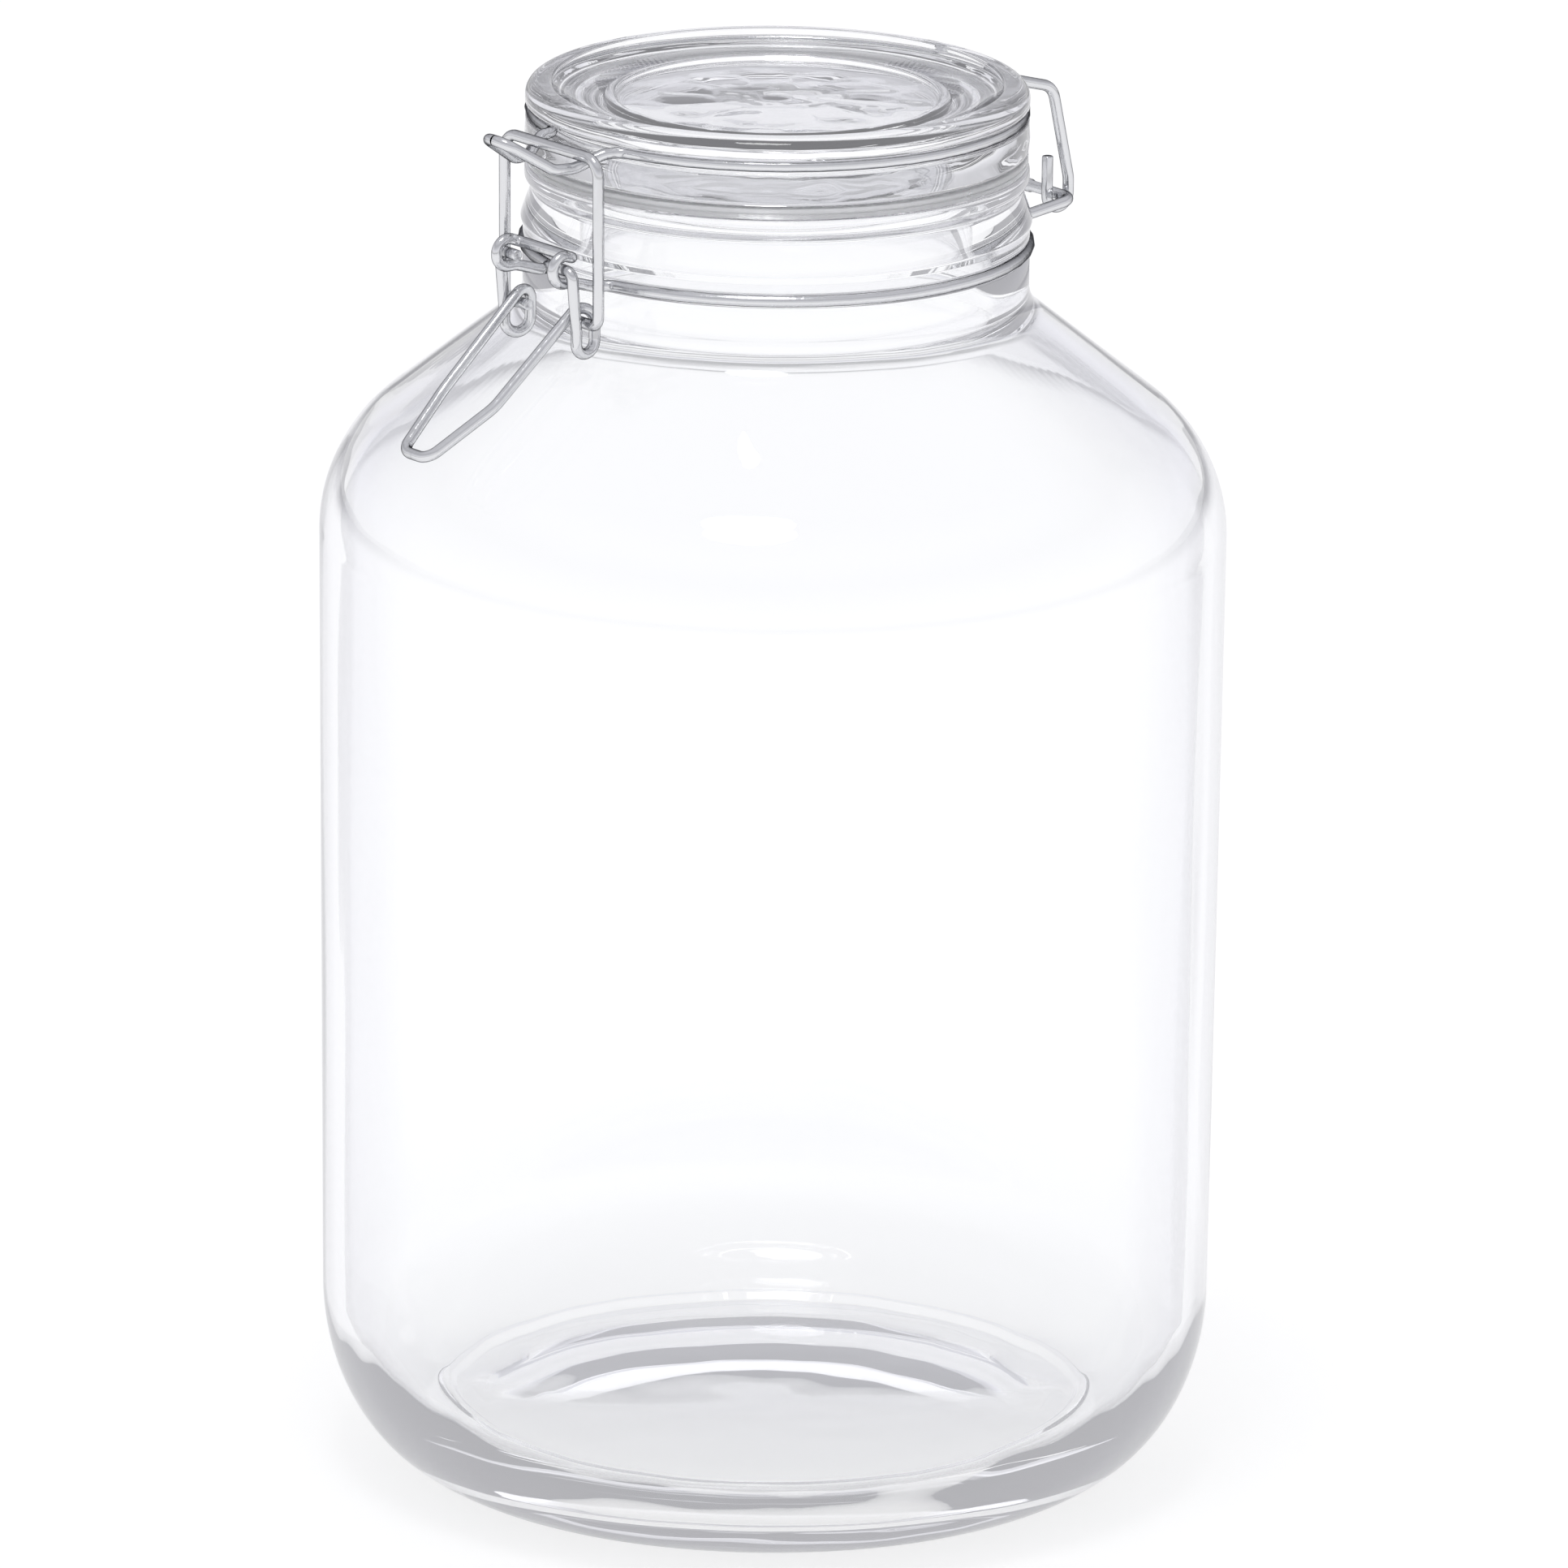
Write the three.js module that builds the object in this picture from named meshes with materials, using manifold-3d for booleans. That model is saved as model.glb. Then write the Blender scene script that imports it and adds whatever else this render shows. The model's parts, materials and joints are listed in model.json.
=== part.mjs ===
// A five-litre clip-top glass canister: a round glass jar, a glass lid with a clear sealing ring,
// and four bent wires. The neck wire and the lid wire lie in grooves round the glass. At the back the
// lid wire's two hooks turn on the neck wire's hinge bar. At the front a bail hung in the coils of a
// thumb lever pulls the lid wire's nose down, and the lever holds it there over centre.
//
// Millimetres, +Z up. The jar's axis is the Z axis, it stands on z = 0, and the clasp faces -Y.

import * as THREE from 'three';
import { mergeVertices } from 'three/addons/utils/BufferGeometryUtils.js';
import loadManifold from 'manifold-3d';

const manifold = await loadManifold();
manifold.setup();

// Glass body
const BODY_RADIUS = 88.5;        // at the top of the straight wall
const BODY_TAPER = 1.1;          // how much slimmer the wall is above the heel
const BODY_TOP = 189;            // height where the shoulder starts
const HEEL_HEIGHT = 36;
const FOOT_OUTER = 61;           // flat ring that the jar stands on
const FOOT_INNER = 56;
const PUSH_UP = 4.5;             // rise of the base inside the foot
const WALL = 4.8;
const BASE_THICKNESS = 7;
const SHOULDER_ARC = 31;
const SHOULDER_SWEEP = 51.5;     // degrees of arc before the shoulder runs straight to the neck
const NECK_FILLET = 3;
const NECK_RADIUS = 49.2;
const NECK_HEIGHT = 26;          // from the end of the neck fillet to the mouth
const NECK_WALL = 7;             // at the mouth
const RIM_HEIGHT = 4.4;
const RIM_STEP = 0.2;            // how much slimmer the rim is than the neck
const WAIST_STEP = 1.7;          // and the waist under the rim
const NECK_RIB = 0.5;

// Lid and sealing ring
const SEAL_THICKNESS = 2.2;
const SEAL_WIDTH = 6;
const LID_FLANGE = 6.3;          // from the seat to the wire groove
const LID_CROWN = 3.8;           // from the wire groove to the top of the rim
const LID_DISH = 3.4;            // how far the middle lies below the rim
const DISH_RADIUS = 32.5;
const LID_WALL = 5.4;
const BOSS_DEPTH = 2.4;          // the ring under the lid that centres the seal

// Wires
const WIRE_RADIUS = 1.1;
const GAP = 0.3;                 // between pieces that lie against each other
const GROOVE_PLAY = 0.42;        // between a ring of wire and its groove
const PIVOT_PLAY = 0.5;          // between a pin and the eye round it
const NECK_WIRE_DROP = 15.6;     // neck groove below the mouth
const PIVOT_OUT = 10.2;          // lever pivot out from the neck wire
const PIVOT_UP = 4.5;            // and above it
const TOGGLE_IN = 3.9;           // bail pivot inward of the lever pivot when shut
const TOGGLE_DROP = 10.7;        // and below it
const EYE_PLANE = 8.7;           // neck wire's eyes, each side of the middle
const LEVER_LENGTH = 40.2;       // bail pivot to the tip of the thumb loop
const LEVER_KNEE = 0.61;         // part of that length where the arms bend together
const LEVER_KNEE_HALF = 8;
const LEVER_TIP_HALF = 3.9;
const FINGER_GAP = 11.2;         // tip of the lever off the shoulder
const COIL_SLACK = 3.3;          // extra length of the lever's oblong coils
const LEG_PLAY = 1.1;            // between the bail's legs and the lever's coils
const NOSE_HALF = 10;            // half the nose's width where it leaves the lid
const NOSE_DIP = 2.6;            // how far it dips below the lid wire under the bail
const NOSE_REACH = 21.5;         // tip of the nose out from the lid wire
const NOSE_RISE = 6.1;           // and above the dip
const BAIL_LEAN = 0.3;           // bail's bar outward of its pivot when shut
const BAR_PLAY = 0.8;            // between the bail and the nose when shut
const RING_BEND = 3;             // bend from a ring into an arm
const HINGE_OUT = 14.9;          // hinge bar out from the neck wire
const HINGE_UP = 1.4;
const HINGE_ARM_HALF = 13.6;     // the hinge bar's arms, each side of the middle
const HOOK_HALF = 8.6;           // the lid wire's hooks
const HOOK_STUB = 8;             // cut end of each hook above the hinge bar
const LEG_LEAN = 4.4;            // how far the hooks' legs lean in towards the lid
const LEG_DROP = 3;              // top of the legs below the lid wire

// Fineness
const TURN_FACETS = 60;          // round the glass
const WIRE_FACETS = 8;
const BEND_STEP = 22.5;          // degrees for one facet of a bend
const RING_STEP = 6;

// Heights and radii that follow
const groove = WIRE_RADIUS + GROOVE_PLAY;
const rad = THREE.MathUtils.degToRad;
const sweep = rad(SHOULDER_SWEEP);
const shoulderCentre = BODY_RADIUS - SHOULDER_ARC;
const filletCentre = NECK_RADIUS + NECK_FILLET;
const shoulderRun = shoulderCentre + SHOULDER_ARC * Math.cos(sweep)
  - (filletCentre - NECK_FILLET * Math.cos(sweep));
const neckStart = BODY_TOP + (SHOULDER_ARC + NECK_FILLET) * Math.sin(sweep)
  + shoulderRun / Math.tan(sweep);
const mouthZ = neckStart + NECK_HEIGHT;
const mouthRadius = NECK_RADIUS - NECK_WALL;
const rimRadius = NECK_RADIUS - RIM_STEP;
const lidRadius = rimRadius;
const sealZ = mouthZ + GAP;
const lidZ = sealZ + SEAL_THICKNESS + GAP;
const neckWireZ = mouthZ - NECK_WIRE_DROP;
const neckWireRadius = NECK_RADIUS - 0.1;
const lidWireZ = lidZ + LID_FLANGE + groove;
const lidWireRadius = lidRadius - WIRE_RADIUS;
const eyeRadius = 2 * WIRE_RADIUS + PIVOT_PLAY;

// ---------------------------------------------------------------- turned glass and rubber

// Points of an ellipse's arc in a profile, from one angle to another, in degrees.
function arc(centreR, centreZ, radiusR, radiusZ, from, to, count) {
  const points = [];
  for (let i = 0; i <= count; i += 1) {
    const angle = rad(from + (to - from) * i / count);
    points.push([centreR + radiusR * Math.cos(angle), centreZ + radiusZ * Math.sin(angle)]);
  }
  return points;
}

// Half-round groove cut into a wall at radius wallR, for a wire ring of radius ringR at height z.
function wireGroove(wallR, ringR, z) {
  const half = Math.sqrt(groove ** 2 - (wallR - ringR) ** 2);
  const edge = THREE.MathUtils.radToDeg(Math.atan2(half, wallR - ringR));
  return arc(ringR, z, groove, groove, -edge, edge - 360, 6);
}

// Turns a profile of [radius, height] points round the Z axis.
function turned(profile) {
  const points = profile.map(([radius, height]) => new THREE.Vector2(radius, height));
  const geometry = new THREE.LatheGeometry(points, TURN_FACETS);
  geometry.rotateX(Math.PI / 2);
  return geometry;
}

function jarProfile() {
  const heelRadius = BODY_RADIUS - BODY_TAPER;
  const innerArc = SHOULDER_ARC - WALL;
  const innerRun = shoulderCentre + innerArc * Math.cos(sweep) - mouthRadius;
  const innerNeckZ = BODY_TOP + innerArc * Math.sin(sweep) + innerRun / Math.tan(sweep);
  const neckTopZ = mouthZ - RIM_HEIGHT;
  const ribZ = (neckWireZ + groove + neckTopZ) / 2;
  const innerFloor = PUSH_UP + BASE_THICKNESS;
  return [
    [0, PUSH_UP],
    [FOOT_INNER * 0.6, PUSH_UP * 0.8],
    [FOOT_INNER - 4, PUSH_UP * 0.35],
    [FOOT_INNER, 0],
    ...arc(FOOT_OUTER, HEEL_HEIGHT, heelRadius - FOOT_OUTER, HEEL_HEIGHT, -90, 0, 7),
    ...arc(shoulderCentre, BODY_TOP, SHOULDER_ARC, SHOULDER_ARC, 0, SHOULDER_SWEEP, 7),
    ...arc(filletCentre, neckStart, NECK_FILLET, NECK_FILLET, SHOULDER_SWEEP - 180, -180, 3),
    ...wireGroove(NECK_RADIUS, neckWireRadius, neckWireZ),
    [NECK_RADIUS, ribZ - 3],
    [NECK_RADIUS + NECK_RIB, ribZ - 1.5],
    [NECK_RADIUS, ribZ],
    [NECK_RADIUS - WAIST_STEP, neckTopZ],
    [rimRadius, mouthZ - RIM_HEIGHT * 0.6],
    [rimRadius, mouthZ - 1],
    [rimRadius - 1, mouthZ],
    [mouthRadius + 1.5, mouthZ],
    [mouthRadius, mouthZ - 1.5],
    [mouthRadius, innerNeckZ],
    ...arc(shoulderCentre, BODY_TOP, innerArc, innerArc, SHOULDER_SWEEP, 0, 6),
    [heelRadius - WALL, HEEL_HEIGHT],
    ...arc(FOOT_OUTER, HEEL_HEIGHT, heelRadius - FOOT_OUTER - WALL, HEEL_HEIGHT - innerFloor + 1, 0, -90, 5)
      .slice(1),
    [FOOT_INNER * 0.6, innerFloor],
    [0, innerFloor],
  ];
}

function sealProfile() {
  const inner = rimRadius - GAP - SEAL_WIDTH;
  const outer = inner + SEAL_WIDTH;
  return [
    [inner, 0],
    [outer - 0.4, 0],
    [outer, 0.4],
    [outer, SEAL_THICKNESS - 0.4],
    [outer - 0.4, SEAL_THICKNESS],
    [inner, SEAL_THICKNESS],
    [inner, 0],
  ];
}

// Heights count from the lid's seat on the sealing ring.
function lidProfile() {
  const bossOuter = rimRadius - 2 * GAP - SEAL_WIDTH;
  const grooveZ = LID_FLANGE + groove;
  const top = grooveZ + groove + LID_CROWN;
  const dish = top - LID_DISH;
  const underside = dish - LID_WALL;
  return [
    [0, underside],
    [bossOuter - 8, underside],
    [bossOuter - 4.5, -BOSS_DEPTH],
    [bossOuter - 0.5, -BOSS_DEPTH],
    [bossOuter, -BOSS_DEPTH + 0.5],
    [bossOuter, 0],
    [lidRadius - 1.2, 0],
    [lidRadius - 0.2, 1.2],
    [lidRadius, LID_FLANGE / 2],
    ...wireGroove(lidRadius - 0.2, lidWireRadius, grooveZ),
    [lidRadius, grooveZ + groove + 1.6],
    ...arc(lidRadius - 3, top - 2.2, 2.8, 2.2, 20, 90, 3),
    [lidRadius - 5.5, top - 0.3],
    [DISH_RADIUS + 1.4, dish + 0.3],
    [DISH_RADIUS + 0.7, dish + 0.9],
    [DISH_RADIUS - 0.7, dish + 0.9],
    [DISH_RADIUS - 1.4, dish],
    [0, dish + 0.8],
  ];
}

// ---------------------------------------------------------------- bent wire

// A wire's centreline through the given points, whose cross-sections lie exactly on them.
class WireLine extends THREE.Curve {
  constructor(points) {
    super();
    this.points = points;
  }

  getPoint(t, target = new THREE.Vector3()) {
    const place = t * (this.points.length - 1);
    const index = Math.min(Math.floor(place), this.points.length - 2);
    return target.lerpVectors(this.points[index], this.points[index + 1], place - index);
  }

  getTangent(t, target = new THREE.Vector3()) {
    const last = this.points.length - 1;
    const index = Math.round(t * last);
    const before = this.points[Math.max(index - 1, 0)];
    const after = this.points[Math.min(index + 1, last)];
    return target.subVectors(after, before).normalize();
  }

  getUtoTmapping(u) {
    return u;
  }
}

// A corner of a wire's route: a place and the radius that the wire is bent to there.
function corner(place, bend = 0) {
  return { place, bend };
}

// The points of a route, with each bend as an arc that touches both of its straights.
function bentRoute(corners) {
  const points = [corners[0].place];
  for (let i = 1; i < corners.length - 1; i += 1) {
    const { place, bend } = corners[i];
    const back = corners[i - 1].place.clone().sub(place).normalize();
    const on = corners[i + 1].place.clone().sub(place).normalize();
    const turn = Math.PI - back.angleTo(on);
    if (bend === 0 || turn < 0.01) {
      points.push(place);
      continue;
    }
    const toTouch = bend * Math.tan(turn / 2);
    const inward = back.clone().add(on).normalize();
    const centre = place.clone().addScaledVector(inward, bend / Math.cos(turn / 2));
    const start = place.clone().addScaledVector(back, toTouch).sub(centre);
    const axis = new THREE.Vector3().crossVectors(on, back).normalize().negate();
    const count = Math.max(2, Math.ceil(THREE.MathUtils.radToDeg(turn) / BEND_STEP));
    for (let k = 0; k <= count; k += 1) {
      const arm = start.clone().applyAxisAngle(axis, -turn * k / count);
      points.push(centre.clone().add(arm));
    }
  }
  points.push(corners[corners.length - 1].place);
  return points;
}

// A round wire along the points.
function wire(points) {
  const section = new THREE.Shape();
  for (let i = 0; i < WIRE_FACETS; i += 1) {
    const angle = 2 * Math.PI * (i + 0.5) / WIRE_FACETS;
    const x = WIRE_RADIUS * Math.cos(angle);
    const y = WIRE_RADIUS * Math.sin(angle);
    if (i === 0) {
      section.moveTo(x, y);
    } else {
      section.lineTo(x, y);
    }
  }
  section.closePath();
  return new THREE.ExtrudeGeometry(section, {
    extrudePath: new WireLine(points),
    steps: points.length - 1,
    curveSegments: 1,
  });
}

// The other half of a route that is the same both sides of the clasp, from the middle outward again.
function mirrored(points) {
  return points.map((point) => new THREE.Vector3(-point.x, point.y, point.z)).reverse();
}

// A place given by its distance sideways, outward from the jar's axis, and up.
function front(across, out, up) {
  return new THREE.Vector3(across, -out, up);
}

function rear(across, out, up) {
  return new THREE.Vector3(across, out, up);
}

// Corners along one side of a ring round the jar, by angles from the back.
function ringSide(radius, z, from, to) {
  const count = Math.round(Math.abs(to - from) / RING_STEP);
  const corners = [];
  for (let i = 0; i <= count; i += 1) {
    const angle = rad(from + (to - from) * i / count);
    corners.push(corner(new THREE.Vector3(radius * Math.sin(angle), radius * Math.cos(angle), z)));
  }
  return corners;
}

// Where a ring has to stop so that a bend takes it out along a straight at a distance across.
function ringStop(radius, across, bend) {
  return THREE.MathUtils.radToDeg(Math.asin((across + bend) / radius));
}

// Points of a coil round an axis across the clasp or the hinge. The side is front or rear. Angles are
// in degrees, from outward towards up, and the coil shifts from one distance across to another.
function coil(side, centre, radius, from, to, acrossFrom, acrossTo) {
  const count = Math.ceil(Math.abs(to - from) / BEND_STEP);
  const points = [];
  for (let i = 0; i <= count; i += 1) {
    const part = i / count;
    const angle = rad(from + (to - from) * part);
    points.push(side(
      acrossFrom + (acrossTo - acrossFrom) * part,
      centre.out + radius * Math.cos(angle),
      centre.up + radius * Math.sin(angle),
    ));
  }
  return points;
}

// ---------------------------------------------------------------- clasp and hinge layout

const leverPivot = { out: neckWireRadius + PIVOT_OUT, up: neckWireZ + PIVOT_UP };
const bailPivot = { out: leverPivot.out - TOGGLE_IN, up: leverPivot.up - TOGGLE_DROP };
const strandPlane = EYE_PLANE + 2 * WIRE_RADIUS + GAP;
const armPlane = strandPlane - 2 * WIRE_RADIUS - GAP;
const bailPlane = strandPlane + 2 * WIRE_RADIUS + LEG_PLAY;
const noseSeatZ = lidWireZ - NOSE_DIP;
const bailBar = { out: bailPivot.out + BAIL_LEAN, up: noseSeatZ + 2 * WIRE_RADIUS + BAR_PLAY };
const hingeBar = { out: neckWireRadius + HINGE_OUT, up: neckWireZ + HINGE_UP };

// The tip of the lever: LEVER_LENGTH from the bail pivot and FINGER_GAP off the shoulder's arc.
function leverTip() {
  const centre = new THREE.Vector2(shoulderCentre, BODY_TOP);
  const pivot = new THREE.Vector2(bailPivot.out, bailPivot.up);
  const standOff = SHOULDER_ARC + FINGER_GAP;
  const apart = pivot.distanceTo(centre);
  const along = (apart ** 2 + LEVER_LENGTH ** 2 - standOff ** 2) / (2 * apart);
  const aside = Math.sqrt(LEVER_LENGTH ** 2 - along ** 2);
  const down = centre.clone().sub(pivot).normalize();
  return {
    out: pivot.x + down.x * along - down.y * aside,
    up: pivot.y + down.y * along + down.x * aside,
  };
}

// ---------------------------------------------------------------- the four wires

function neckWirePoints() {
  const hingeStop = ringStop(neckWireRadius, HINGE_ARM_HALF, RING_BEND);
  const eyeStop = 180 - ringStop(neckWireRadius, EYE_PLANE, RING_BEND);
  const ringOutEye = Math.sqrt(neckWireRadius ** 2 - EYE_PLANE ** 2);
  const ringOutHinge = Math.sqrt(neckWireRadius ** 2 - HINGE_ARM_HALF ** 2);
  const clearOfNeck = NECK_RADIUS + WIRE_RADIUS + 1;
  const route = bentRoute([
    corner(rear(0.1, hingeBar.out, hingeBar.up)),
    corner(rear(HINGE_ARM_HALF, hingeBar.out, hingeBar.up), RING_BEND),
    corner(rear(HINGE_ARM_HALF, clearOfNeck, neckWireZ), 4),
    corner(rear(HINGE_ARM_HALF, ringOutHinge, neckWireZ), RING_BEND),
    ...ringSide(neckWireRadius, neckWireZ, hingeStop, eyeStop),
    corner(front(EYE_PLANE, ringOutEye, neckWireZ), RING_BEND),
    corner(front(EYE_PLANE, clearOfNeck, neckWireZ), 4),
    corner(front(EYE_PLANE, leverPivot.out - 2, leverPivot.up - eyeRadius), 4),
    corner(front(EYE_PLANE, leverPivot.out, leverPivot.up - eyeRadius)),
  ]);
  const eye = coil(front, leverPivot, eyeRadius, -90, 110, EYE_PLANE, EYE_PLANE);
  const eyeEnd = eye[eye.length - 1];
  const heading = eyeEnd.clone().sub(eye[eye.length - 2]).normalize();
  const bridgeBend = 1.9;
  const bridge = bentRoute([
    corner(eyeEnd),
    corner(eyeEnd.clone().addScaledVector(heading, bridgeBend + 0.1), bridgeBend),
    corner(eyeEnd.clone().addScaledVector(heading, bridgeBend + 0.1).setX(0)),
  ]);
  const half = [...route.slice(0, -1), ...eye, ...bridge.slice(1)];
  return [...half, ...mirrored(half).slice(1)];
}

function lidWirePoints() {
  const hookStop = ringStop(lidWireRadius, HOOK_HALF, RING_BEND);
  const noseStop = 180 - ringStop(lidWireRadius, NOSE_HALF, RING_BEND);
  const ringOutHook = Math.sqrt(lidWireRadius ** 2 - HOOK_HALF ** 2);
  const ringOutNose = Math.sqrt(lidWireRadius ** 2 - NOSE_HALF ** 2);
  const clearOfLid = lidRadius + 1.5;
  const hookTop = hingeBar.up + HOOK_STUB;
  const legOut = hingeBar.out + eyeRadius;
  const stub = [rear(HOOK_HALF, hingeBar.out - eyeRadius, hookTop)];
  const hook = coil(rear, hingeBar, eyeRadius, 180, 360, HOOK_HALF, HOOK_HALF);
  const route = bentRoute([
    corner(rear(HOOK_HALF, legOut, hingeBar.up)),
    corner(rear(HOOK_HALF, legOut, hingeBar.up + 3), 6),
    corner(rear(HOOK_HALF, legOut - LEG_LEAN, lidWireZ - LEG_DROP), 4),
    corner(rear(HOOK_HALF, clearOfLid + 1, lidWireZ), 6),
    corner(rear(HOOK_HALF, ringOutHook, lidWireZ), RING_BEND),
    ...ringSide(lidWireRadius, lidWireZ, hookStop, noseStop),
    corner(front(NOSE_HALF, ringOutNose, lidWireZ), RING_BEND),
    corner(front(NOSE_HALF - 0.6, clearOfLid, lidWireZ), 3),
    corner(front(NOSE_HALF - 3, bailBar.out, noseSeatZ), 4),
    corner(front(NOSE_HALF - 4, bailBar.out + 4, noseSeatZ), 4),
    corner(front(3, lidWireRadius + NOSE_REACH, noseSeatZ + NOSE_RISE), 2.9),
    corner(front(0, lidWireRadius + NOSE_REACH, noseSeatZ + NOSE_RISE)),
  ]);
  const half = [...stub, ...hook.slice(0, -1), ...route];
  return [...half, ...mirrored(half).slice(1)];
}

function leverWirePoints() {
  const tip = leverTip();
  const knee = {
    out: bailPivot.out + LEVER_KNEE * (tip.out - bailPivot.out),
    up: bailPivot.up + LEVER_KNEE * (tip.up - bailPivot.up),
  };
  const strandOut = bailPivot.out + eyeRadius;
  const heading = THREE.MathUtils.radToDeg(Math.atan2(tip.up - bailPivot.up, tip.out - bailPivot.out));
  const lean = THREE.MathUtils.radToDeg(Math.asin(eyeRadius / (LEVER_KNEE * LEVER_LENGTH)));
  const leave = heading - lean + 90;
  const coilFoot = { out: bailPivot.out, up: bailPivot.up - COIL_SLACK };
  const innerEnd = EYE_PLANE - 3.2;
  const pin = bentRoute([
    corner(front(innerEnd, leverPivot.out, leverPivot.up)),
    corner(front(strandPlane, leverPivot.out, leverPivot.up), 1.6),
    corner(front(strandPlane, strandOut, coilFoot.up + 2), 3),
    corner(front(strandPlane, strandOut, coilFoot.up)),
  ]);
  const middle = (strandPlane + armPlane) / 2;
  const under = coil(front, coilFoot, eyeRadius, 0, -180, strandPlane, middle);
  const over = coil(front, bailPivot, eyeRadius, 180, leave, middle, armPlane);
  const arm = bentRoute([
    corner(over[over.length - 1]),
    corner(front(LEVER_KNEE_HALF, knee.out, knee.up), 12),
    corner(front(LEVER_TIP_HALF, tip.out, tip.up), LEVER_TIP_HALF * 0.85),
    corner(front(0, tip.out, tip.up)),
  ]);
  const half = [...pin.slice(0, -1), ...under, ...over, ...arm.slice(1)];
  return [...half, ...mirrored(half).slice(1)];
}

function bailWirePoints() {
  const innerEnd = armPlane - WIRE_RADIUS - 0.6;
  const half = bentRoute([
    corner(front(innerEnd, bailPivot.out, bailPivot.up)),
    corner(front(bailPlane, bailPivot.out, bailPivot.up), 2),
    corner(front(bailPlane, bailBar.out, bailBar.up), 3.6),
    corner(front(0, bailBar.out, bailBar.up)),
  ]);
  return [...half, ...mirrored(half).slice(1)];
}

// Joins overlapping closed shapes into one.
function joined(geometries) {
  const solids = geometries.map((geometry) => {
    const bare = new THREE.BufferGeometry();
    bare.setAttribute('position', geometry.getAttribute('position'));
    if (geometry.index) bare.setIndex(geometry.index);
    const merged = mergeVertices(bare, 1e-5);
    return new manifold.Manifold(new manifold.Mesh({
      numProp: 3,
      vertProperties: new Float32Array(merged.getAttribute('position').array),
      triVerts: new Uint32Array(merged.index.array),
    }));
  });
  const mesh = manifold.Manifold.union(solids).getMesh();
  const geometry = new THREE.BufferGeometry();
  geometry.setAttribute('position', new THREE.BufferAttribute(mesh.vertProperties, 3));
  geometry.setIndex(new THREE.BufferAttribute(mesh.triVerts, 1));
  geometry.computeVertexNormals();
  return geometry;
}

// The neck wire's ends are butt-welded in the middle of the hinge bar, under a small bead.
function neckWire() {
  const bead = new THREE.CylinderGeometry(WIRE_RADIUS + 0.25, WIRE_RADIUS + 0.25, 1.6, 12);
  bead.rotateZ(Math.PI / 2);
  bead.translate(0, hingeBar.out, hingeBar.up);
  return joined([wire(neckWirePoints()), bead]);
}

// ---------------------------------------------------------------- materials and assembly

const glass = new THREE.MeshStandardMaterial({
  color: 0xf2f5f6, roughness: 0.02, metalness: 0, transparent: true, opacity: 0.35,
});
const rubber = new THREE.MeshStandardMaterial({ color: 0xe9ebea, roughness: 0.45, metalness: 0 });
const steel = new THREE.MeshStandardMaterial({ color: 0xc9cbcd, roughness: 0.22, metalness: 1 });

function piece(name, geometry, material, height = 0) {
  const mesh = new THREE.Mesh(geometry, material);
  mesh.name = name;
  mesh.position.z = height;
  return mesh;
}

const jar = new THREE.Group();
jar.add(piece('jar_glass', turned(jarProfile()), glass));
jar.add(piece('neck_wire', neckWire(), steel));

const lid = new THREE.Group();
lid.add(piece('lid_glass', turned(lidProfile()), glass, lidZ));
lid.add(piece('gasket', turned(sealProfile()), rubber, sealZ));
lid.add(piece('lid_wire', wire(lidWirePoints()), steel));

const canister = new THREE.Group();
canister.add(jar);
canister.add(lid);
canister.add(piece('lever_wire', wire(leverWirePoints()), steel));
canister.add(piece('bail_wire', wire(bailWirePoints()), steel));

export default canister;
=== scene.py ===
# %% [markdown]
# # A clip-top glass canister
# The canister is a round glass jar, a pressed glass lid, a clear sealing ring and four bent wires.
# Its moving model is already fixed: the frame holds every piece in its place, in metres, with the
# jar's foot on z = 0 and the clasp facing -Y. Here each piece is made again at full smoothness in
# exactly that place, and given its glass, silicone or steel.

# %% Load the frame
import json
from math import asin, atan2, cos, degrees, hypot, pi, radians, sin, sqrt, tan

import bmesh
import bpy
from mathutils import Matrix, Vector


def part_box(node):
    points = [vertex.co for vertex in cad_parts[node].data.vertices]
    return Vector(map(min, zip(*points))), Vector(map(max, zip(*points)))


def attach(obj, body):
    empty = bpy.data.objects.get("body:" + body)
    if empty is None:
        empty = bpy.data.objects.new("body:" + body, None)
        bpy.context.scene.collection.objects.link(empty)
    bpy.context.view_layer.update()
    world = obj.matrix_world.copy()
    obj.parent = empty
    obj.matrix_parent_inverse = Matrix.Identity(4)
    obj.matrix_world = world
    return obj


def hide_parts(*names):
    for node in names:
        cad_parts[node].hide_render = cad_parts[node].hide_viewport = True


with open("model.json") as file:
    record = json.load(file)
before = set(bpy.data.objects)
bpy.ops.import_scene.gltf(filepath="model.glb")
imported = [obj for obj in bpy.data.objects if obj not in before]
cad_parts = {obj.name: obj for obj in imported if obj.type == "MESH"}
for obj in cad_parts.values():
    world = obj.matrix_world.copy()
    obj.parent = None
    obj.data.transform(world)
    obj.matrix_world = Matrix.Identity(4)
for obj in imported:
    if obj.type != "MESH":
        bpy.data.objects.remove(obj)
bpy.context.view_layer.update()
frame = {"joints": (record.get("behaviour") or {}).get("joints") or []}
scene = bpy.context.scene
MM = 0.001

# %% [markdown]
# ## Where things are
# The pivots come from the joints, and the heights and radii from the boxes of the frame's nodes.
# Measuring them once keeps every later outline short, and keeps the smooth pieces in step with
# the ones that the joints move.

# %% Pivots, seats and radii
pivots = {joint["name"]: Vector(joint["pos_m"]) for joint in frame["joints"]}
lever_pivot = pivots["lever_pivot"]
bail_pivot = pivots["bail_pivot"]
hinge_bar = pivots["lid_hinge"]

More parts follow.
